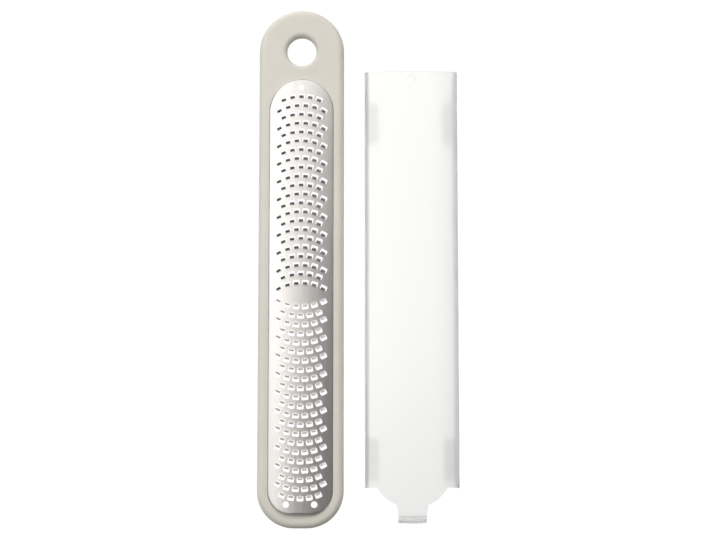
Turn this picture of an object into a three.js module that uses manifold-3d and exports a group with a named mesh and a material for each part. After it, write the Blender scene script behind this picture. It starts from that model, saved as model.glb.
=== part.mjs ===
import * as THREE from 'three';
import { mergeVertices } from 'three/addons/utils/BufferGeometryUtils.js';
import Module from 'manifold-3d';

// Hand grater: a moulded frame, a stamped blade held in its window, and a slide-on cover lying beside it.
// Millimetres. +Z out of the cutting face, +Y toward the hanging hole. Both lie on Z = 0.

// Frame
const frameLength = 250;
const frameWidth = 41;
const frameDepth = 8;
const frameRound = 3; // rounding of the outer edges
const tipCorner = 17.5; // corner radius of the blunt end
const hangHole = 13.7; // narrowest diameter, concentric with the round end
const handleLength = 35; // round end to window
const sideRim = 5; // frame beside the window
const tipRim = 6.5; // frame below the window
const windowChamfer = 0.8;

// Blade
const sheet = 0.5;
const bladeGap = 0.3; // clearance between blade and frame
const flangeWidth = 2.6; // hidden border held in the frame's groove
const flangeHeight = 5.2; // underside of the border
const crownHeight = 10.6; // top of the arch
const crownRadius = 48;
const bladeShoulder = 3; // roll of the blade's edges
const locatorHole = 3.1;
const handleLocator = 4.2; // from the window's handle end
const tipLocator = 4.6; // from the window's tip end
const tipLocatorSpread = 13.4; // between the two holes at the tip

// Teeth, in two mirrored halves
const widestRow = 6; // teeth in the odd rows, one fewer in the even rows
const columnPitch = 4.33;
const rowPitch = 4.31;
const firstRow = 5.8; // from the blade's middle to the top of the first row's arc
const plainEnd = 7.6; // least plain length between the last row and the window's end
const rowRadius = 24;
const toothHoleWidth = 3.3;
const toothHoleLength = 2.4;
const tongueWidth = 2.3;
const tongueRise = 0.95; // edge above the sheet's face
const tongueRun = 1.5; // from the hole's root side to the edge
const tongueRoot = 0.05; // joined length behind the hole's root side
const tongueRootTop = 0.14; // below the sheet's face
const tongueRootFoot = 0.45;

// Cover, sized round the frame and blade as it sits on them
const coverWall = 1.2;
const coverClearance = 0.55; // to the frame's sides and tip
const coverHeadroom = 0.65; // above the tips of the teeth
const coverCrownRadius = 110;
const coverShoulder = 5;
const coverLength = 199; // length of the side walls
const lipThickness = 1;
const lipGap = 0.4; // below the frame's back
const lipReach = 5.6;
const lipLength = 20;
const handleLips = 23; // centre of the lips from the cover's open end
const tipLips = 13.2; // centre of the lips from the other end of the walls
const tongueLength = 16.8; // end of the walls to the tab's outer face
const tongueRadius = 19; // rounded end of the cover
const tongueSetback = 9.4; // its centre inside the end of the walls
const tabRoot = 14.6;
const tabTip = 12.4;
const tabBend = 3.6; // outer bend radius
const tabEnd = 1; // height of the tab's free end
const gateMark = 3.6;
const gateDepth = 0.4;
const gateInset = 3; // from the open end

// Where the cover lies
const sideGap = 10; // between frame and cover
const coverShift = 3.9; // toward the handle from where it sits when on

const overcut = 1; // cutting bodies run this far past the faces they cut

// Derived levels and places
const frameTop = frameLength / 2;
const frameBottom = -frameLength / 2;
const holeCentre = frameTop - frameWidth / 2;
const windowHalf = frameWidth / 2 - sideRim;
const windowTop = frameTop - handleLength;
const windowBottom = frameBottom + tipRim;
const windowCorner = tipCorner - tipRim;
const bladeMiddle = (windowTop + windowBottom) / 2;
const rowsPerHalf = 1 + Math.floor((windowTop - bladeMiddle - plainEnd - firstRow) / rowPitch);
const ridgeAngle = Math.asin(columnPitch / crownRadius);
const crownEnd = Math.asin((windowHalf - bladeGap - bladeShoulder) / (crownRadius - bladeShoulder));
const crownEdges = [-crownEnd, -ridgeAngle, ridgeAngle, crownEnd];
const coverHalf = frameWidth / 2 + coverClearance + coverWall;
const coverTop = crownHeight + tongueRise + coverHeadroom + coverWall;
const coverFoot = -lipGap - lipThickness;
const tabOuter = frameBottom - coverClearance - coverWall;
const wallsBottom = tabOuter + tongueLength;
const wallsTop = wallsBottom + coverLength;
const span = frameWidth + sideGap + 2 * coverHalf;

const wasm = await Module();
wasm.setup();

function solid(geometry) {
  const bare = geometry.clone();
  bare.deleteAttribute('normal');
  bare.deleteAttribute('uv');
  const merged = mergeVertices(bare, 1e-5);
  const vertProperties = new Float32Array(merged.attributes.position.array);
  const triVerts = new Uint32Array(merged.index.array);
  return new wasm.Manifold(new wasm.Mesh({ numProp: 3, vertProperties, triVerts }));
}

function meshOf(name, body, look) {
  const { vertProperties, triVerts } = body.getMesh();
  const geometry = new THREE.BufferGeometry();
  geometry.setAttribute('position', new THREE.BufferAttribute(vertProperties, 3));
  geometry.setIndex(new THREE.BufferAttribute(triVerts, 1));
  geometry.computeVertexNormals();
  const mesh = new THREE.Mesh(geometry, new THREE.MeshStandardMaterial(look));
  mesh.name = name;
  return mesh;
}

// Outline with a round top end and two rounded corners at the bottom end
function stadium(half, top, bottom, corner) {
  const shape = new THREE.Shape();
  shape.absarc(half - corner, bottom + corner, corner, -Math.PI / 2, 0);
  shape.absarc(0, top - half, half, 0, Math.PI);
  shape.absarc(corner - half, bottom + corner, corner, Math.PI, 1.5 * Math.PI);
  return shape;
}

const frameOutline = () => stadium(frameWidth / 2, frameTop, frameBottom, tipCorner);

// Outline of the window, grown by the given amount
const windowOutline = (grow) =>
  stadium(windowHalf + grow, windowTop + grow, windowBottom - grow, windowCorner + grow);

// Upright prism between two levels, its edges rounded by the given radius inside the outline
function prism(shape, low, high, { round = 0, roundSteps = 3, curveSegments = 8 } = {}) {
  const geometry = new THREE.ExtrudeGeometry(shape, {
    depth: high - low - 2 * round,
    bevelEnabled: round > 0,
    bevelThickness: round,
    bevelSize: round,
    bevelOffset: -round,
    bevelSegments: roundSteps,
    curveSegments,
  });
  return solid(geometry.translate(0, 0, low + round));
}

// Bar along Y whose section is drawn in X and Z
function bar(section, from, to, curveSegments) {
  const depth = to - from;
  const geometry = new THREE.ExtrudeGeometry(section, { depth, bevelEnabled: false, curveSegments });
  return solid(geometry.rotateX(Math.PI / 2).translate(0, to, 0));
}

// Plate across X whose profile is drawn in Y and Z
function crossPlate(profile, width) {
  const options = { depth: width, bevelEnabled: false, curveSegments: 4 };
  const geometry = new THREE.ExtrudeGeometry(profile, options);
  return geometry.rotateY(Math.PI / 2).rotateX(Math.PI / 2).translate(-width / 2, 0, 0);
}

// Arched section: a crown arc tangent to two shoulder arcs, drawn inward by inset
function archArcs(half, top, radius, shoulder, inset) {
  const centre = top - radius;
  const reach = half - shoulder;
  const shoulderCentre = centre + Math.sqrt((radius - shoulder) ** 2 - reach ** 2);
  const turn = Math.atan2(shoulderCentre - centre, reach);
  return [
    [reach, shoulderCentre, shoulder - inset, 0, turn],
    [0, centre, radius - inset, turn, Math.PI - turn],
    [-reach, shoulderCentre, shoulder - inset, Math.PI - turn, Math.PI],
  ];
}

function buildFrame() {
  const outline = frameOutline();
  const hole = new THREE.Path();
  hole.absarc(0, holeCentre, hangHole / 2 + frameRound, 0, Math.PI, false);
  hole.absarc(0, holeCentre, hangHole / 2 + frameRound, Math.PI, 2 * Math.PI, false);
  outline.holes.push(hole);
  const window = prism(windowOutline(0), -overcut, frameDepth + overcut);
  const grooveLow = flangeHeight - bladeGap;
  const grooveHigh = flangeHeight + sheet + bladeGap;
  const groove = prism(windowOutline(flangeWidth + bladeGap), grooveLow, grooveHigh);
  const chamferLow = frameDepth - windowChamfer;
  const chamfer = prism(windowOutline(windowChamfer), chamferLow, frameDepth + overcut, {
    round: windowChamfer,
    roundSteps: 1,
  });
  const body = prism(outline, 0, frameDepth, { round: frameRound });
  return body.subtract(window).subtract(groove).subtract(chamfer);
}

// Solid under the blade's face, drawn inward by inset.
// Three flats that meet on tooth columns form the crown.
function bladeCore(inset) {
  const half = windowHalf - bladeGap;
  const [right, , left] = archArcs(half, crownHeight, crownRadius, bladeShoulder, inset);
  const section = new THREE.Shape();
  section.moveTo(inset - half, 0);
  section.lineTo(half - inset, 0);
  section.absarc(...right);
  for (const angle of [ridgeAngle, -ridgeAngle]) {
    const radius = crownRadius - inset;
    section.lineTo(radius * Math.sin(angle), crownHeight - crownRadius + radius * Math.cos(angle));
  }
  section.absarc(...left);
  const arch = bar(section, frameBottom, frameTop, 2);
  const ends = prism(windowOutline(-bladeGap - inset), -bladeShoulder, crownHeight - inset, {
    round: bladeShoulder - inset,
    roundSteps: 2,
    curveSegments: 6,
  });
  return arch.intersect(ends);
}

// Height and tilt of the crown's flat, or of the ridge between two flats, under a tooth
function seat(x) {
  const angle = Math.asin(x / crownRadius);
  const from = crownEdges.findLast((edge) => edge < angle + 1e-6);
  const to = crownEdges.find((edge) => edge > angle - 1e-6);
  const tilt = (from + to) / 2;
  const flat = crownRadius * Math.cos((to - from) / 2);
  const z = crownHeight - crownRadius + (flat - x * Math.sin(tilt)) / Math.cos(tilt);
  return { z, tilt };
}

function toothPlaces() {
  const places = [];
  for (const half of [1, -1]) {
    for (let row = 0; row < rowsPerHalf; row += 1) {
      const count = widestRow - (row % 2);
      for (let column = 0; column < count; column += 1) {
        const x = (column - (count - 1) / 2) * columnPitch;
        const rowTop = firstRow + row * rowPitch;
        const y = bladeMiddle + half * (rowTop - rowRadius + Math.sqrt(rowRadius ** 2 - x ** 2));
        const { z, tilt } = seat(x);
        const turn = half > 0 ? -Math.asin(x / rowRadius) : Math.PI + Math.asin(x / rowRadius);
        const place = new THREE.Matrix4().makeTranslation(x, y, z);
        place.multiply(new THREE.Matrix4().makeRotationY(tilt));
        place.multiply(new THREE.Matrix4().makeRotationZ(turn));
        places.push(place);
      }
    }
  }
  return places;
}

function buildBlade() {
  const border = windowOutline(flangeWidth);
  border.holes.push(windowOutline(-bladeGap - sheet));
  const floor = prism(frameOutline(), -frameDepth, flangeHeight);
  let blade = bladeCore(0).subtract(bladeCore(sheet)).subtract(floor);
  blade = blade.add(prism(border, flangeHeight, flangeHeight + sheet));

  const rootSide = -toothHoleLength / 2;
  const profile = new THREE.Shape();
  profile.moveTo(rootSide - tongueRoot, -tongueRootFoot);
  profile.lineTo(rootSide + tongueRun, tongueRise);
  profile.lineTo(rootSide - tongueRoot, -tongueRootTop);
  const tongue = crossPlate(profile, tongueWidth);
  const opening = new THREE.BoxGeometry(toothHoleWidth, toothHoleLength, 4 * sheet);
  const places = toothPlaces();
  for (const place of places) {
    blade = blade.subtract(solid(opening.clone().applyMatrix4(place)));
  }
  for (const place of places) {
    blade = blade.add(solid(tongue.clone().applyMatrix4(place)));
  }

  const locators = [
    [0, windowTop - handleLocator],
    [-tipLocatorSpread / 2, windowBottom + tipLocator],
    [tipLocatorSpread / 2, windowBottom + tipLocator],
  ];
  for (const [x, y] of locators) {
    const drill = new THREE.CylinderGeometry(locatorHole / 2, locatorHole / 2, crownHeight, 16);
    blade = blade.subtract(solid(drill.rotateX(Math.PI / 2).translate(x, y, crownHeight)));
  }
  return blade;
}

function buildCover() {
  const outer = archArcs(coverHalf, coverTop, coverCrownRadius, coverShoulder, 0);
  const inner = archArcs(coverHalf, coverTop, coverCrownRadius, coverShoulder, coverWall);
  const section = new THREE.Shape();
  section.moveTo(coverHalf - coverWall, coverFoot);
  section.lineTo(coverHalf, coverFoot);
  outer.forEach((arc) => section.absarc(...arc));
  section.lineTo(-coverHalf, coverFoot);
  section.lineTo(coverWall - coverHalf, coverFoot);
  inner.reverse().forEach(([x, z, radius, from, to]) => section.absarc(x, z, radius, to, from, true));
  let cover = bar(section, wallsBottom, wallsTop, 4);

  const lipHalf = coverHalf - coverWall / 2;
  for (const y of [wallsTop - handleLips, wallsBottom + tipLips]) {
    for (const side of [1, -1]) {
      const lip = new THREE.BoxGeometry(lipReach + coverWall / 2, lipLength, lipThickness);
      const x = side * (lipHalf - (lipReach + coverWall / 2) / 2);
      cover = cover.add(solid(lip.translate(x, y, coverFoot + lipThickness / 2)));
    }
  }

  // Past the walls the web goes on as a rounded tongue, and ends in a tab bent down over the frame's tip
  const bendStart = tabOuter + tabBend;
  const round = new THREE.Shape().absarc(0, wallsBottom + tongueSetback, tongueRadius, 0, 2 * Math.PI);
  const tabPlan = new THREE.Shape();
  tabPlan.moveTo(-tabTip / 2, tabOuter);
  tabPlan.lineTo(tabTip / 2, tabOuter);
  tabPlan.lineTo(tabRoot / 2, wallsBottom);
  tabPlan.lineTo(-tabRoot / 2, wallsBottom);
  const tabSpace = prism(tabPlan, coverFoot, coverTop + overcut);
  const tongueSpace = prism(round, coverFoot, coverTop + overcut).add(tabSpace);
  const web = bar(section, bendStart, wallsBottom + coverWall, 4);
  cover = cover.add(web.intersect(tongueSpace));

  const bendCentre = coverTop - tabBend;
  const profile = new THREE.Shape();
  profile.absarc(bendStart, bendCentre, tabBend, Math.PI / 2, Math.PI);
  profile.lineTo(tabOuter, tabEnd);
  profile.lineTo(tabOuter + coverWall, tabEnd);
  profile.absarc(bendStart, bendCentre, tabBend - coverWall, Math.PI, Math.PI / 2, true);
  profile.lineTo(bendStart + coverWall, coverTop - coverWall);
  profile.lineTo(bendStart + coverWall, coverTop);
  cover = cover.add(solid(crossPlate(profile, tabRoot)).intersect(tabSpace));

  const gate = new THREE.CylinderGeometry(gateMark / 2, gateMark / 2, 2 * gateDepth, 16);
  gate.rotateX(Math.PI / 2).translate(0, wallsTop - gateInset, coverTop);
  return cover.subtract(solid(gate));
}

const grater = new THREE.Group();
grater.name = 'grater';
grater.position.x = (frameWidth - span) / 2;
grater.add(meshOf('frame', buildFrame(), { color: 0xd9d5ca, roughness: 0.5, metalness: 0 }));
grater.add(meshOf('blade', buildBlade(), { color: 0xc8c8c5, roughness: 0.3, metalness: 1 }));

const shield = new THREE.Group();
shield.name = 'shield';
shield.position.set(span / 2 - coverHalf, coverShift, -coverFoot);
shield.add(meshOf('cover', buildCover(), { color: 0xf1f3f2, roughness: 0.4, metalness: 0 }));

const part = new THREE.Group();
part.name = 'hand_grater';
part.add(grater, shield);

export default part;
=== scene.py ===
import math

import bmesh
import bpy
from mathutils import Matrix, Vector


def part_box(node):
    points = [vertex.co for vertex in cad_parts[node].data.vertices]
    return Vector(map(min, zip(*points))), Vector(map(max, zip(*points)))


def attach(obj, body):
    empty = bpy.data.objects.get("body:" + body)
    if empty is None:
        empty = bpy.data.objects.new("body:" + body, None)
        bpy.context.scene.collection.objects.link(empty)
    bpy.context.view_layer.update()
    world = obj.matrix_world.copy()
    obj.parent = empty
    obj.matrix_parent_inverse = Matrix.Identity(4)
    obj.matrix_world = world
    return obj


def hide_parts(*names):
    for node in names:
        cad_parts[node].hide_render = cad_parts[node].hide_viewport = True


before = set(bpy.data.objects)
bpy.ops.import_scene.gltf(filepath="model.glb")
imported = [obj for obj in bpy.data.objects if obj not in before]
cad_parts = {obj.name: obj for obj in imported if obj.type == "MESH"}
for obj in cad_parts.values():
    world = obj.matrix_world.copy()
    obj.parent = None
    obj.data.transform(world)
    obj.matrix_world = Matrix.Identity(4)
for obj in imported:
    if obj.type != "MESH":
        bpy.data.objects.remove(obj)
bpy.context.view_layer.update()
print("frame loaded:", sorted(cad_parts))

scene = bpy.context.scene
mm = 0.001
up = Vector((0, 0, 1))

# how close counts as the same place, in millimetres
tiny = 1e-4
weld = 1e-3
near = 0.01
margin = 0.1
mostly = 0.9  # a face turned this far toward a direction faces it


# Shared modelling steps

def vertsOf(geom):
    return [g for g in geom if isinstance(g, bmesh.types.BMVert)]


def edgesOf(geom):
    return [g for g in geom if isinstance(g, bmesh.types.BMEdge)]


def isWall(face):
    return abs(face.normal.z) < 1 - mostly


def isFlat(face):
    return abs(face.normal.z) > mostly


def arch(x, top, radius):
    # height of a round arch at x from its middle
    return top - radius + math.sqrt(radius ** 2 - x ** 2)


def slotEdge(p, half, top, bottom, corner):
    # for a long slot with a round top and two rounded bottom corners:
    # how far p lies inside its edge, and the level direction straight out of it
    side = math.copysign(1, p.x)
    if p.y > top - half:
        x, y = p.x, p.y - top + half
        return half - math.hypot(x, y), Vector((x, y, 0)).normalized()
    if p.y > bottom + corner:
        return half - abs(p.x), Vector((side, 0, 0))
    if abs(p.x) > half - corner:
        x, y = p.x - side * (half - corner), p.y - bottom - corner
        return corner - math.hypot(x, y), Vector((x, y, 0)).normalized()
    return p.y - bottom, Vector((0, -1, 0))


def walk(bm, start, moves):
    # draws an outline from vertex to vertex: straight runs, and arcs turned about a centre
    here = bm.verts.new(start)
    for move in moves:
        if "to" in move:
            here = bmesh.ops.extrude_vert_indiv(bm, verts=[here])["verts"][0]
            here.co = move["to"]
        else:
            turned = bmesh.ops.spin(
                bm, geom=[here], cent=move["about"], axis=move.get("axis", (0, 0, 1)),
                angle=math.radians(move["turn"]), steps=move["steps"])
            here = vertsOf(turned["geom_last"])[0]


def growRow(bm, row, move):
    # extrudes a row of edges, sends each new vertex to its place and gives the new row
    grown = bmesh.ops.extrude_edge_only(bm, edges=row)["geom"]
    ends = set(vertsOf(grown))
    for v in ends:
        v.co = move(v.co)
    return [e for e in edgesOf(grown) if e.verts[0] in ends and e.verts[1] in ends]


def pullFaces(bm, faces):
    # lifts faces off their place with walls behind them, and gives the lifted vertices
    lifted = vertsOf(bmesh.ops.extrude_face_region(bm, geom=faces)["geom"])
    bmesh.ops.delete(bm, geom=faces, context="FACES")
    return lifted


def roundOff(bm, geom, size, steps, affect="EDGES"):
    bmesh.ops.bevel(bm, geom=geom, offset=size, offset_type="OFFSET", segments=steps, profile=0.5,
                    affect=affect, clamp_overlap=False, material=-1)


def openMiddle(bm):
    # takes away the faces that lie on the mirror plane
    cut = [f for f in bm.faces if all(abs(v.co.x) < tiny for v in f.verts)]
    bmesh.ops.delete(bm, geom=cut, context="FACES")


def mirrorHalf(bm):
    # the other half across X = 0, joined along the cut
    openMiddle(bm)
    bmesh.ops.mirror(bm, geom=bm.verts[:] + bm.edges[:] + bm.faces[:], axis="X", merge_dist=weld)
    bmesh.ops.remove_doubles(bm, verts=bm.verts[:], dist=weld)
    bmesh.ops.recalc_face_normals(bm, faces=bm.faces[:])


def addObject(name, bm):
    mesh = bpy.data.meshes.new(name)
    bm.to_mesh(mesh)
    bm.free()
    added = bpy.data.objects.new(name, mesh)
    scene.collection.objects.link(added)
    return added


def makePiece(name, bm, place, material, body, node, sharpAngle):
    # millimetres to metres, moved to the piece's place in the frame
    bmesh.ops.scale(bm, vec=(mm, mm, mm), verts=bm.verts[:])
    bmesh.ops.translate(bm, vec=place, verts=bm.verts[:])
    piece = addObject(name, bm)
    piece.data.shade_smooth()
    piece.data.set_sharp_from_angle(angle=math.radians(sharpAngle))
    piece.data.materials.append(material)
    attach(piece, body)
    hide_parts(node)
    return piece


def evenNormals(piece):
    smooth = piece.modifiers.new("evenNormals", "WEIGHTED_NORMAL")
    smooth.keep_sharp = True


# Materials

def newMaterial(name):
    # gives the object coordinates too, which every pattern reads
    material = bpy.data.materials.new(name)
    material.use_nodes = True
    nodes, links = material.node_tree.nodes, material.node_tree.links
    place = nodes.new("ShaderNodeTexCoord").outputs["Object"]
    return material, nodes, links, nodes["Principled BSDF"], place


def noiseOf(nodes, links, place, scale, detail):
    noise = nodes.new("ShaderNodeTexNoise")
    noise.inputs["Scale"].default_value = scale
    noise.inputs["Detail"].default_value = detail
    links.new(place, noise.inputs["Vector"])
    return noise.outputs["Fac"]


def rangeOf(nodes, links, source, ends, values, smooth=False):
    # a value that runs between two values while its source runs between two ends
    span = nodes.new("ShaderNodeMapRange")
    if smooth:
        span.interpolation_type = "SMOOTHSTEP"
    span.inputs["From Min"].default_value, span.inputs["From Max"].default_value = ends
    span.inputs["To Min"].default_value, span.inputs["To Max"].default_value = values
    links.new(source, span.inputs["Value"])
    return span.outputs["Result"]


def tintFrom(nodes, links, shader, source, ends, colours):
    # base colour between two colours, by a pattern
    ramp = nodes.new("ShaderNodeValToRGB")
    for element, end, colour in zip(ramp.color_ramp.elements, ends, colours):
        element.position = end
        element.color = (*colour, 1)
    links.new(source, ramp.inputs["Fac"])
    links.new(ramp.outputs["Color"], shader.inputs["Base Color"])


def grainBump(nodes, links, shader, place, look):
    # fine surface grain
    grain = noiseOf(nodes, links, place, look["grainScale"], look["grainDetail"])
    bump = nodes.new("ShaderNodeBump")
    bump.inputs["Strength"].default_value = look["grainStrength"]
    bump.inputs["Distance"].default_value = look["grainDepth"]
    links.new(grain, bump.inputs["Height"])
    links.new(bump.outputs["Normal"], shader.inputs["Normal"])
    return grain


framePlasticLook = {
    "colours": ((0.815, 0.78, 0.693), (0.865, 0.83, 0.743)),  # moulded-in colour, slightly uneven
    "cloudScale": 45, "cloudDetail": 4, "cloudEnds": (0.3, 0.7), "rough": (0.40, 0.52), "specular": 0.4,
    "grainScale": 5200, "grainDetail": 3, "grainDepth": 0.00003, "grainStrength": 0.35,
}


def makeFramePlastic(look):
    material, nodes, links, shader, place = newMaterial("framePlastic")
    grain = grainBump(nodes, links, shader, place, look)
    cloud = noiseOf(nodes, links, place, look["cloudScale"], look["cloudDetail"])
    tintFrom(nodes, links, shader, cloud, look["cloudEnds"], look["colours"])
    links.new(rangeOf(nodes, links, grain, (0, 1), look["rough"]), shader.inputs["Roughness"])
    shader.inputs["Specular IOR Level"].default_value = look["specular"]
    return material


bladeSteelLook = {
    "colours": ((0.57, 0.55, 0.525), (0.64, 0.62, 0.592)), "rough": (0.31, 0.42),
    "rolledStretch": (1400, 60, 1400), "rolledDetail": 3, "rolledEnds": (0.25, 0.75),
    "grainScale": 2600, "grainDetail": 3, "grainDepth": 0.00002, "grainStrength": 0.25,
}


def makeBladeSteel(look):
    material, nodes, links, shader, place = newMaterial("bladeSteel")
    grainBump(nodes, links, shader, place, look)
    stretch = nodes.new("ShaderNodeMapping")  # rolling marks run along the strip
    stretch.inputs["Scale"].default_value = look["rolledStretch"]
    links.new(place, stretch.inputs["Vector"])
    rolled = noiseOf(nodes, links, stretch.outputs["Vector"], 1, look["rolledDetail"])
    tintFrom(nodes, links, shader, rolled, look["rolledEnds"], look["colours"])
    links.new(rangeOf(nodes, links, rolled, (0, 1), look["rough"]), shader.inputs["Roughness"])
    shader.inputs["Metallic"].default_value = 1
    return material


coverPlasticLook = {
    "colour": (0.985, 0.985, 0.975), "frostShade": 0.985, "frostEnds": (0.2, 0.8),
    "clear": 0.9, "rough": 0.29, "ior": 1.46, "absorb": (0.56, 0.55, 0.52), "density": 26,
    "grainScale": 3000, "grainDetail": 3, "grainDepth": 0.00002, "grainStrength": 0.02,
}


def makeCoverPlastic(look):
    material, nodes, links, shader, place = newMaterial("coverPlastic")
    grain = grainBump(nodes, links, shader, place, look)
    shaded = [c * look["frostShade"] for c in look["colour"]]
    tintFrom(nodes, links, shader, grain, look["frostEnds"], (shaded, look["colour"]))
    shader.inputs["Roughness"].default_value = look["rough"]
    shader.inputs["IOR"].default_value = look["ior"]
    shader.inputs["Transmission Weight"].default_value = look["clear"]
    absorb = nodes.new("ShaderNodeVolumeAbsorption")
    absorb.inputs["Color"].default_value = (*look["absorb"], 1)
    absorb.inputs["Density"].default_value = look["density"]
    links.new(absorb.outputs["Volume"], nodes["Material Output"].inputs["Volume"])
    return material


framePlastic = makeFramePlastic(framePlasticLook)
bladeSteel = makeBladeSteel(bladeSteelLook)
coverPlastic = makeCoverPlastic(coverPlasticLook)
print("materials ready")


# Frame, drawn as its right half and mirrored

frameSizes = {
    "length": 250, "width": 41, "depth": 8, "edgeRound": 3, "tipCorner": 17.5,
    "holeNeck": 14.1, "holeRound": 2.4, "holeUnder": 4.6,  # the hole opens out above and below its neck
    "handle": 35, "sideRim": 5, "tipRim": 6.5, "windowSlope": 0.9, "windowDrop": 0.12,
    "grooveLow": 4.9, "grooveHigh": 6, "grooveReach": 2.9,
    "arcSteps": 28, "roundSteps": 8, "sharpAngle": 50,
}


def buildFrame(size):
    half, top, bottom = size["width"] / 2, size["length"] / 2, -size["length"] / 2
    depth, arcSteps, roundSteps = size["depth"], size["arcSteps"], size["roundSteps"]
    holeY, neck = top - half, size["holeNeck"] / 2
    tipX, tipY = half - size["tipCorner"], bottom + size["tipCorner"]
    windowHalf, windowCorner = half - size["sideRim"], size["tipCorner"] - size["tipRim"]
    windowTop, windowBottom = top - size["handle"], bottom + size["tipRim"]
    cornerX, cornerY = windowHalf - windowCorner, windowBottom + windowCorner
    archY = windowTop - windowHalf

    bm = bmesh.new()
    walk(bm, (0, top, 0), [
        {"about": (0, holeY, 0), "turn": -90, "steps": arcSteps},
        {"to": (half, tipY, 0)},
        {"about": (tipX, tipY, 0), "turn": -90, "steps": arcSteps},
        {"to": (0, bottom, 0)},
        {"to": (0, windowBottom, 0)},
        {"to": (cornerX, windowBottom, 0)},
        {"about": (cornerX, cornerY, 0), "turn": 90, "steps": arcSteps},
        {"to": (windowHalf, archY, 0)},
        {"about": (0, archY, 0), "turn": 90, "steps": arcSteps},
        {"to": (0, holeY - neck, 0)},
        {"about": (0, holeY, 0), "turn": 180, "steps": 2 * arcSteps},
        {"to": (0, top, 0)},
    ])
    bmesh.ops.remove_doubles(bm, verts=bm.verts[:], dist=tiny)
    bmesh.ops.edgeloop_fill(bm, edges=bm.edges[:])
    slab = bmesh.ops.extrude_face_region(bm, geom=bm.faces[:])["geom"]
    bmesh.ops.translate(bm, vec=(0, 0, depth), verts=vertsOf(slab))
    bmesh.ops.recalc_face_normals(bm, faces=bm.faces[:])
    openMiddle(bm)

    def onFlat(p):
        return p.z < near or p.z > depth - near

    def inHole(p):
        return math.hypot(p.x, p.y - holeY) < neck + margin

    def inWindow(p):
        return abs(p.x) < windowHalf + margin and windowBottom - margin < p.y < windowTop + margin

    def windowWall():
        return [f for f in bm.faces if isWall(f) and inWindow(f.calc_center_median())]

    def rimEdges(test):
        # edges between a flat face and an upright wall, by the place of their middle
        found = []
        for edge in bm.edges:
            a, b = edge.verts[0].co, edge.verts[1].co
            faces = edge.link_faces
            if abs(a.z - b.z) < tiny and len(faces) == 2 and test((a + b) / 2):
                if any(map(isWall, faces)) and any(map(isFlat, faces)):
                    found.append(edge)
        return found

    # groove for the blade's border, cut into the window's wall
    for level in (size["grooveLow"], size["grooveHigh"]):
        parts = set()
        for f in windowWall():
            parts.update([f], f.verts, f.edges)
        bmesh.ops.bisect_plane(bm, geom=list(parts), plane_co=(0, 0, level), plane_no=up)
    band = [f for f in windowWall() if size["grooveLow"] < f.calc_center_median().z < size["grooveHigh"]]
    for v in pullFaces(bm, band):
        outward = slotEdge(v.co, windowHalf, windowTop, windowBottom, windowCorner)[1]
        v.co += outward * size["grooveReach"]

    roundOff(bm, rimEdges(lambda p: p.z > depth - near and inHole(p)), size["holeRound"], roundSteps)
    roundOff(bm, rimEdges(lambda p: p.z < near and inHole(p)), size["holeUnder"], roundSteps)
    slope = size["windowSlope"]
    roundOff(bm, rimEdges(lambda p: p.z > depth - near and inWindow(p)), slope, 1)
    for v in bm.verts:
        if abs(v.co.z - depth + slope) < near and inWindow(v.co):
            v.co.z = depth - size["windowDrop"]
    outside = rimEdges(lambda p: onFlat(p) and not inHole(p) and not inWindow(p))
    roundOff(bm, outside, size["edgeRound"], roundSteps)
    mirrorHalf(bm)
    return bm


frameLow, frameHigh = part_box("frame")
graterPlace = Vector(((frameLow.x + frameHigh.x) / 2, (frameLow.y + frameHigh.y) / 2, frameLow.z))
framePiece = makePiece("grater_frame", buildFrame(frameSizes), graterPlace, framePlastic,
                       "grater_body", "frame", frameSizes["sharpAngle"])
evenNormals(framePiece)
print("frame made:", len(framePiece.data.polygons), "faces")


# Blade: a flat strip with its tooth openings, then arched and rolled down at the edges

bladeSizes = {
    "half": 15.44, "top": 89.94, "bottom": -118.44, "corner": 10.94, "sheet": 0.5,
    "crown": 10.6, "crownRadius": 48, "roll": 0.6, "edgeLevel": 7.95, "border": 2.6, "borderLevel": 5.7,
    "rows": 22, "widestRow": 6, "columnPitch": 4.36, "rowPitch": 4.31, "firstRow": 6, "rowRadius": 24,
    "middle": -14.7,  # where the two halves of the teeth meet
    "openWidth": 3.3, "openLength": 2.4, "openCorner": 0.55, "openCornerSteps": 3,
    "tongueRun": 1.12, "tongueRise": 0.85, "tongueCorner": 0.3, "tongueCornerSteps": 2,
    "tongueSteps": [(0.25, 0.09), (0.35, 0.385), (0.4, 0.525)],  # shares of the run and of the rise
    "locator": 3.1, "locatorSteps": 24, "locators": [(0, 85.8), (-6.7, -113.9), (6.7, -113.9)],
    "rimStart": 2.2, "rimLoops": [1.5, 0.9, 0.62, 0.4, 0.22, 0.08, 0],  # how far in from the edge
    "rimSteps": 40, "cornerSteps": 14, "finest": 1.5, "finePasses": 3, "probe": 0.02, "sharpAngle": 38,
}


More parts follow.
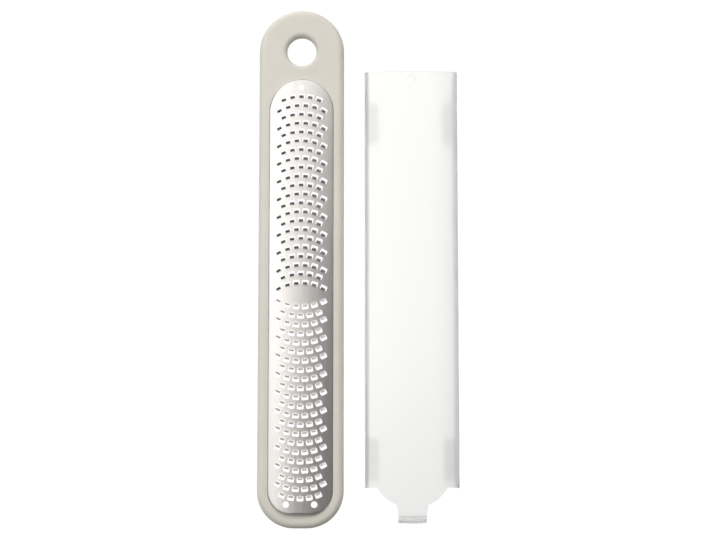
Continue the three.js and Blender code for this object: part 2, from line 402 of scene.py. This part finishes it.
def toothMesh(size):
    # one opening's outline with the tongue that stands up from its inner side
    bm = bmesh.new()
    bmesh.ops.create_grid(bm, x_segments=1, y_segments=1, size=1)
    bmesh.ops.scale(bm, vec=(size["openWidth"] / 2, size["openLength"] / 2, 1), verts=bm.verts[:])
    roundOff(bm, bm.verts[:], size["openCorner"], size["openCornerSteps"], affect="VERTICES")
    sides = [e for e in bm.edges if e.calc_length() > size["openCorner"]]
    bmesh.ops.subdivide_edges(bm, edges=sides, cuts=1)
    bmesh.ops.delete(bm, geom=bm.faces[:], context="FACES_ONLY")
    row = [e for e in bm.edges if all(v.co.y < tiny - size["openLength"] / 2 for v in e.verts)]
    for run, rise in size["tongueSteps"]:
        step = Vector((0, run * size["tongueRun"], rise * size["tongueRise"]))
        row = growRow(bm, row, lambda p: p + step)
    tips = sorted({v for e in row for v in e.verts}, key=lambda v: v.co.x)
    roundOff(bm, [tips[0], tips[-1]], size["tongueCorner"], size["tongueCornerSteps"], affect="VERTICES")
    mesh = bpy.data.meshes.new("tooth")
    bm.to_mesh(mesh)
    bm.free()
    return mesh


def toothSpots(size):
    # curved rows, mirrored about the plain patch in the middle
    radius = size["rowRadius"]
    for side in (1, -1):
        for row in range(size["rows"]):
            count = size["widestRow"] - row % 2
            for column in range(count):
                x = (column - (count - 1) / 2) * size["columnPitch"]
                y = size["middle"] + side * arch(x, size["firstRow"] + row * size["rowPitch"], radius)
                turn = -math.asin(x / radius) if side > 0 else math.pi + math.asin(x / radius)
                yield Matrix.Translation((x, y, 0)) @ Matrix.Rotation(turn, 4, "Z")


def bladeStrip(size):
    # the sheet inside its rim, still flat, with its openings and tongues
    inset = size["rimStart"]
    half, corner = size["half"] - inset, size["corner"] - inset
    top, bottom = size["top"] - inset, size["bottom"] + inset
    cornerX, cornerY = half - corner, bottom + corner
    bm = bmesh.new()
    walk(bm, (half, cornerY, 0), [
        {"to": (half, top - half, 0)},
        {"about": (0, top - half, 0), "turn": 180, "steps": size["rimSteps"]},
        {"to": (-half, cornerY, 0)},
        {"about": (-cornerX, cornerY, 0), "turn": 90, "steps": size["cornerSteps"]},
        {"to": (cornerX, bottom, 0)},
        {"about": (cornerX, cornerY, 0), "turn": 90, "steps": size["cornerSteps"]},
    ])
    bmesh.ops.remove_doubles(bm, verts=bm.verts[:], dist=tiny)
    for x, y in size["locators"]:
        bmesh.ops.create_circle(bm, segments=size["locatorSteps"], radius=size["locator"] / 2,
                                matrix=Matrix.Translation((x, y, 0)))
    stamp = toothMesh(size)
    for spot in toothSpots(size):
        stamp.transform(spot)
        bm.from_mesh(stamp)
        stamp.transform(spot.inverted())
    bpy.data.meshes.remove(stamp)

    def isLevel(part):
        return all(abs(v.co.z) < tiny for v in part.verts)

    bmesh.ops.triangle_fill(bm, use_beauty=True, edges=[e for e in bm.edges if isLevel(e)])
    for _ in range(size["finePasses"]):
        sheet = [e for e in bm.edges if any(map(isLevel, e.link_faces))]
        long = [e for e in sheet if e.calc_length() > size["finest"]]
        bmesh.ops.subdivide_edges(bm, edges=long, cuts=1)
        bmesh.ops.triangulate(bm, faces=[f for f in bm.faces if isLevel(f)])
    return bm


def buildBlade(size):
    outline = [size[key] for key in ("half", "top", "bottom", "corner")]

    def fromEdge(p):
        return slotEdge(p, *outline)[0]

    def outward(p):
        return slotEdge(p, *outline)[1]

    def height(p):
        crown = arch(p.x, size["crown"], size["crownRadius"])
        drop = min(size["roll"], crown - size["edgeLevel"])
        reach = max(0, min(1, 1 - fromEdge(p) / size["roll"]))
        return crown - drop * (1 - math.sqrt(1 - reach ** 2))

    def facing(p):
        # straight out of the sheet: up on the border, out on the edge, along the slope elsewhere
        inside = fromEdge(p)
        if inside < -near:
            return up
        if p.z < size["borderLevel"] + near:
            return outward(p) + up
        if inside < near:
            return outward(p)
        across, along = Vector((size["probe"], 0, 0)), Vector((0, size["probe"], 0))
        riseAcross = height(p + across) - height(p - across)
        riseAlong = height(p + along) - height(p - along)
        return Vector((-riseAcross, -riseAlong, 2 * size["probe"])).normalized()

    def onRim(edge):
        return edge.is_boundary and all(abs(fromEdge(v.co) - size["rimStart"]) < near for v in edge.verts)

    def onBorder(p, reach):
        out = p + outward(p) * reach
        return Vector((out.x, out.y, size["borderLevel"]))

    bm = bladeStrip(size)
    print("blade strip filled:", len(bm.faces), "faces")
    rim = [e for e in bm.edges if onRim(e)]
    at = size["rimStart"]
    for loop in size["rimLoops"]:
        rim = growRow(bm, rim, lambda p: p + outward(p) * (at - loop))
        at = loop
    for v in bm.verts:
        v.co.z += height(v.co)
    for reach in (0, size["border"]):
        rim = growRow(bm, rim, lambda p: onBorder(p, reach))

    # the sheet's thickness, grown inward from its outside
    under = bmesh.ops.extrude_face_region(bm, geom=bm.faces[:])["geom"]
    for v in vertsOf(under):
        v.co -= facing(v.co) * size["sheet"]
    bmesh.ops.recalc_face_normals(bm, faces=bm.faces[:])
    return bm


bladePiece = makePiece("grater_blade", buildBlade(bladeSizes), graterPlace, bladeSteel,
                       "grater_body", "blade", bladeSizes["sharpAngle"])
evenNormals(bladePiece)
print("blade made:", len(bladePiece.data.polygons), "faces")


# Cover: its right half as a bent sheet, mirrored, given its wall, its gate mark and its lips

coverSizes = {
    "half": 22.25, "top": 14.8, "wall": 1.2, "crownRadius": 110, "shoulder": 3.2, "shoulderSteps": 10,
    "wallsTop": 92.95, "wallsBottom": -106.05,
    "lip": 1, "lipReach": 5.6, "lipLength": 20, "lipsAt": [69.95, -92.85],
    "tongueRadius": 19, "tongueSetback": 9.4, "tongueShares": [0.2, 0.42, 0.62, 0.8, 0.93, 1],
    "tabRoot": 17, "tabTip": 12.3, "tabEnd": -122.85, "tabFoot": 2.4,
    "creaseRadius": 0.8, "creaseTurn": 35, "creaseSteps": 4,  # the tab turns down tightly, then widely
    "bendRadius": 5.8, "bendTurn": 86, "bendSteps": 6,
    "gate": 3.9, "gateFloor": 0.76, "gateDepth": 0.8, "gateAt": 89.1, "gateSteps": 24,
    "gateSide": 3, "gateUp": 2.4,  # the patch that the gate mark is let into
    "edge": 0.15, "edgeSteps": 2, "sharpAngle": 40,
}


def coverSheet(size):
    # the outside of the right half: wall, shoulder and web, then the tongue and its tab
    half, top, radius, shoulder = size["half"], size["top"], size["crownRadius"], size["shoulder"]
    wallsTop, wallsBottom = size["wallsTop"], size["wallsBottom"]
    reach = half - shoulder
    shoulderZ = arch(reach, top - shoulder, radius - shoulder)
    shoulderTurn = math.degrees(math.acos(reach / (radius - shoulder)))
    crownEnd = reach * radius / (radius - shoulder)
    tight, crease = size["creaseRadius"], math.radians(size["creaseTurn"])
    wide, bend = size["bendRadius"], math.radians(size["bendTurn"])
    bendRun = tight * math.sin(crease) + wide * (math.sin(bend) - math.sin(crease))
    bendDrop = tight * (1 - math.cos(crease)) + wide * (math.cos(crease) - math.cos(bend))
    footRun = (top - bendDrop - size["tabFoot"]) / math.tan(bend)
    bendY = size["tabEnd"] + bendRun + footRun

    def tongueY(x):
        return wallsBottom + size["tongueSetback"] - math.sqrt(size["tongueRadius"] ** 2 - x ** 2)

    def tabHalf(y):
        share = (wallsBottom - y) / (wallsBottom - size["tabEnd"])
        return (size["tabRoot"] + share * (size["tabTip"] - size["tabRoot"])) / 2

    tabJoin = tabHalf(tongueY(size["tabRoot"] / 2))
    tongueHalf = math.sqrt(size["tongueRadius"] ** 2 - size["tongueSetback"] ** 2)
    columns = [size["gateSide"], tabJoin]
    columns += [tabJoin + (tongueHalf - tabJoin) * share for share in size["tongueShares"]]
    columns.append(crownEnd)

    bm = bmesh.new()
    web = [{"to": (x, wallsTop, arch(x, top, radius))} for x in columns]
    walk(bm, (0, wallsTop, top), web + [
        {"about": (reach, wallsTop, shoulderZ), "axis": (0, 1, 0), "turn": shoulderTurn,
         "steps": size["shoulderSteps"]},
        {"to": (half, wallsTop, size["lip"])},
        {"to": (half, wallsTop, 0)},
    ])
    stops = [size["gateAt"] + size["gateUp"], size["gateAt"], size["gateAt"] - size["gateSide"]]
    for y in size["lipsAt"]:
        stops += [y + size["lipLength"] / 2, y - size["lipLength"] / 2]
    row = bm.edges[:]
    for y in stops + [wallsBottom]:
        row = growRow(bm, row, lambda p: Vector((p.x, y, p.z)))

    # the web runs on as a rounded tongue
    row = [e for e in row if all(v.co.x < tongueHalf + weld and v.co.z > shoulderZ for v in e.verts)]
    row = growRow(bm, row, lambda p: Vector((p.x, tongueY(max(p.x, tabJoin)), p.z)))

    # and as a tab, bent down at its end
    row = [e for e in row if all(v.co.x < tabJoin + weld for v in e.verts)]
    narrowing = tabHalf(bendY) / tabJoin
    row = growRow(bm, row, lambda p: Vector((p.x * narrowing, bendY, p.z)))
    lean = wide - tight
    for back, down, turn, steps in (
            (0, tight, crease, size["creaseSteps"]),
            (lean * math.sin(crease), tight + lean * math.cos(crease), bend - crease, size["bendSteps"])):
        turned = bmesh.ops.spin(bm, geom=row, cent=(0, bendY + back, top - down), axis=(1, 0, 0),
                                angle=turn, steps=steps)
        row = edgesOf(turned["geom_last"])
    narrowing = size["tabTip"] / 2 / tabHalf(bendY)
    growRow(bm, row, lambda p: Vector((p.x * narrowing, p.y - footRun, size["tabFoot"])))
    bmesh.ops.remove_doubles(bm, verts=bm.verts[:], dist=weld)
    return bm


def sinkGate(bm, size):
    # round mark left by the moulding gate near the open end, on the outside only
    top, gateY, side = size["top"], size["gateAt"], size["gateSide"]
    patch = []
    for f in bm.faces:
        c = f.calc_center_median()
        if abs(c.x) < side and -side < c.y - gateY < size["gateUp"] and c.z > top - size["wall"] / 2:
            patch.append(f)
    square = [e for e in bm.edges if sum(f in patch for f in e.link_faces) == 1]
    bmesh.ops.delete(bm, geom=patch, context="FACES")
    ring = bmesh.ops.create_circle(bm, segments=size["gateSteps"], radius=size["gate"] / 2,
                                   matrix=Matrix.Translation((0, gateY, top)))["verts"]
    circle = [e for e in bm.edges if e.verts[0] in ring and e.verts[1] in ring]
    bmesh.ops.bridge_loops(bm, edges=square + circle)
    bottom = growRow(bm, circle, lambda p: p)
    sunk = list({v for e in bottom for v in e.verts})
    bmesh.ops.scale(bm, vec=(size["gateFloor"], size["gateFloor"], 1), verts=sunk,
                    space=Matrix.Translation((0, -gateY, 0)))
    bmesh.ops.translate(bm, vec=(0, 0, -size["gateDepth"]), verts=sunk)
    bmesh.ops.edgeloop_fill(bm, edges=bottom)
    bmesh.ops.recalc_face_normals(bm, faces=bm.faces[:])


def addLips(bm, size):
    # lips turned in from the foot of the walls
    inner = size["half"] - size["wall"]
    for side in (1, -1):
        feet = []
        for f in bm.faces:
            c = f.calc_center_median()
            atFoot = abs(c.x - side * inner) < margin and c.z < size["lip"]
            atLip = any(abs(c.y - y) < size["lipLength"] / 2 for y in size["lipsAt"])
            if atFoot and atLip and f.normal.x * side < -mostly:
                feet.append(f)
        bmesh.ops.translate(bm, vec=(-side * size["lipReach"], 0, 0), verts=pullFaces(bm, feet))


def buildCover(size):
    bm = coverSheet(size)
    mirrorHalf(bm)
    if sum(f.normal.z * f.calc_area() for f in bm.faces) < 0:
        bmesh.ops.reverse_faces(bm, faces=bm.faces[:])
    bmesh.ops.solidify(bm, geom=bm.faces[:], thickness=size["wall"])
    sinkGate(bm, size)
    addLips(bm, size)
    return bm


coverLow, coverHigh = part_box("cover")
coverPlace = Vector(((coverLow.x + coverHigh.x) / 2, 0, coverLow.z))
coverPiece = makePiece("grater_cover", buildCover(coverSizes), coverPlace, coverPlastic,
                       "cover_body", "cover", coverSizes["sharpAngle"])
edgeRound = coverPiece.modifiers.new("edgeRound", "BEVEL")
edgeRound.width = coverSizes["edge"] * mm
edgeRound.segments = coverSizes["edgeSteps"]
edgeRound.limit_method = "ANGLE"
edgeRound.angle_limit = math.radians(coverSizes["sharpAngle"])
evenNormals(coverPiece)
print("cover made:", len(coverPiece.data.polygons), "faces")


# Floor, light and camera

stageSizes = {
    "floorHalf": 6, "floorDrop": 0.0003, "floorSeen": 1.05,
    # how the floor glows where it shows through the cover, with painted shade: dimmer to the front where
    # the light falls off, and a painted shadow of the cover past its far wall
    "paintedFalloffAlong": (-0.15, -0.02), "paintedFalloffGlow": (0.94, 1.09),
    "shadeAcross": (0.038, 0.05), "shadeShare": (1, 0.84),
    "roomLean": -0.2, "roomEnds": (-0.7, 0.9), "roomGlow": (0.04, 0.4),
    "sensor": 36, "lens": 94.4, "distance": 0.9, "tilt": 7.3, "aim": (0, -0.00225, 0.005),
}

lightSizes = {
    "mainSoftbox": {"turn": 113, "tilt": 25, "far": 1.3, "width": 1.85, "height": 0.9, "glow": 1.65},
    "leftSoftbox": {"turn": 172, "tilt": 42, "far": 1.3, "width": 1.3, "height": 0.6, "glow": 1.05},
    "backLeftStrip": {"turn": 115, "tilt": 80, "far": 1.3, "width": 0.9, "height": 0.5, "glow": 1.7},
    "backRightStrip": {"turn": 50, "tilt": 48, "far": 1.3, "width": 0.8, "height": 0.5, "glow": 1.5},
    "frontRightStrip": {"turn": 325, "tilt": 70, "far": 1.3, "width": 1.0, "height": 0.5, "glow": 0.4},
    "frontLeftFill": {"turn": 240, "tilt": 76, "far": 1.3, "width": 1.0, "height": 0.5, "glow": 0.9},
}


def seenDirectly(nodes, links, other, direct):
    # one shader where the picture shows it straight, the other in reflections and through the cover
    path = nodes.new("ShaderNodeLightPath")
    mix = nodes.new("ShaderNodeMixShader")
    links.new(path.outputs["Is Camera Ray"], mix.inputs["Fac"])
    links.new(other.outputs[0], mix.inputs[1])
    links.new(direct.outputs[0], mix.inputs[2])
    return mix.outputs["Shader"]


def makeFloor(size):
    bm = bmesh.new()
    bmesh.ops.create_grid(bm, x_segments=1, y_segments=1, size=size["floorHalf"])
    bmesh.ops.translate(bm, vec=(0, 0, -size["floorDrop"]), verts=bm.verts[:])
    floor = addObject("floor", bm)
    material, nodes, links, shader, place = newMaterial("paleFloor")
    nodes.remove(shader)
    parts = nodes.new("ShaderNodeSeparateXYZ")
    links.new(place, parts.inputs["Vector"])
    both = nodes.new("ShaderNodeMath")
    both.operation = "MULTIPLY"
    # painted falloff of the light: the glow seen through the cover dims toward the front
    fade = rangeOf(nodes, links, parts.outputs["Y"], size["paintedFalloffAlong"], size["paintedFalloffGlow"], smooth=True)
    links.new(fade, both.inputs[0])
    # painted shadow of the cover: the glow seen through it dims past its far wall
    shade = rangeOf(nodes, links, parts.outputs["X"], size["shadeAcross"], size["shadeShare"])
    links.new(shade, both.inputs[1])
    through = nodes.new("ShaderNodeEmission")
    links.new(both.outputs["Value"], through.inputs["Strength"])
    direct = nodes.new("ShaderNodeEmission")
    direct.inputs["Strength"].default_value = size["floorSeen"]
    links.new(seenDirectly(nodes, links, through, direct), nodes["Material Output"].inputs["Surface"])
    floor.data.materials.append(material)
    floor.visible_diffuse = False
    floor.visible_shadow = False


def makeWorld(size):
    world = bpy.data.worlds.new("studio")
    scene.world = world
    world.use_nodes = True
    nodes, links = world.node_tree.nodes, world.node_tree.links
    # dim room behind the panels, lighter toward the back and the left
    place = nodes.new("ShaderNodeTexCoord")
    parts = nodes.new("ShaderNodeSeparateXYZ")
    links.new(place.outputs["Generated"], parts.inputs["Vector"])
    lean = nodes.new("ShaderNodeMath")
    lean.operation = "MULTIPLY_ADD"
    links.new(parts.outputs["X"], lean.inputs[0])
    lean.inputs[1].default_value = size["roomLean"]
    links.new(parts.outputs["Y"], lean.inputs[2])
    fade = rangeOf(nodes, links, lean.outputs["Value"], size["roomEnds"], size["roomGlow"], smooth=True)
    room, pale = nodes["Background"], nodes.new("ShaderNodeBackground")
    links.new(fade, room.inputs["Strength"])
    for shader in (room, pale):
        shader.inputs["Color"].default_value = (1, 1, 1, 1)
    links.new(seenDirectly(nodes, links, room, pale), nodes["World Output"].inputs["Surface"])


def makeLight(name, look):
    # a soft panel facing the object, placed by its turn about Z and its tilt from straight up
    tilt, turn = math.radians(look["tilt"]), math.radians(look["turn"])
    away = Vector((math.sin(tilt) * math.cos(turn), math.sin(tilt) * math.sin(turn), math.cos(tilt)))
    data = bpy.data.lights.new(name, "AREA")
    data.shape = "RECTANGLE"
    data.size, data.size_y = look["width"], look["height"]
    data.energy = math.pi * look["width"] * look["height"] * look["glow"]
    lamp = bpy.data.objects.new(name, data)
    lamp.location = away * look["far"]
    lamp.rotation_euler = away.to_track_quat("Z", "Y").to_euler()
    lamp.visible_camera = False
    scene.collection.objects.link(lamp)


def makeCamera(size):
    data = bpy.data.cameras.new("camera")
    data.sensor_width = size["sensor"]
    data.lens = size["lens"]
    camera = bpy.data.objects.new("camera", data)
    tilt = math.radians(size["tilt"])
    look = Vector((0, math.sin(tilt), -math.cos(tilt)))
    camera.location = Vector(size["aim"]) - look * size["distance"]
    camera.rotation_euler = (tilt, 0, 0)
    scene.collection.objects.link(camera)
    scene.camera = camera


makeFloor(stageSizes)
makeWorld(stageSizes)
for name, look in lightSizes.items():
    makeLight(name, look)
makeCamera(stageSizes)
scene.view_settings.view_transform = "Standard"
print("stage ready")
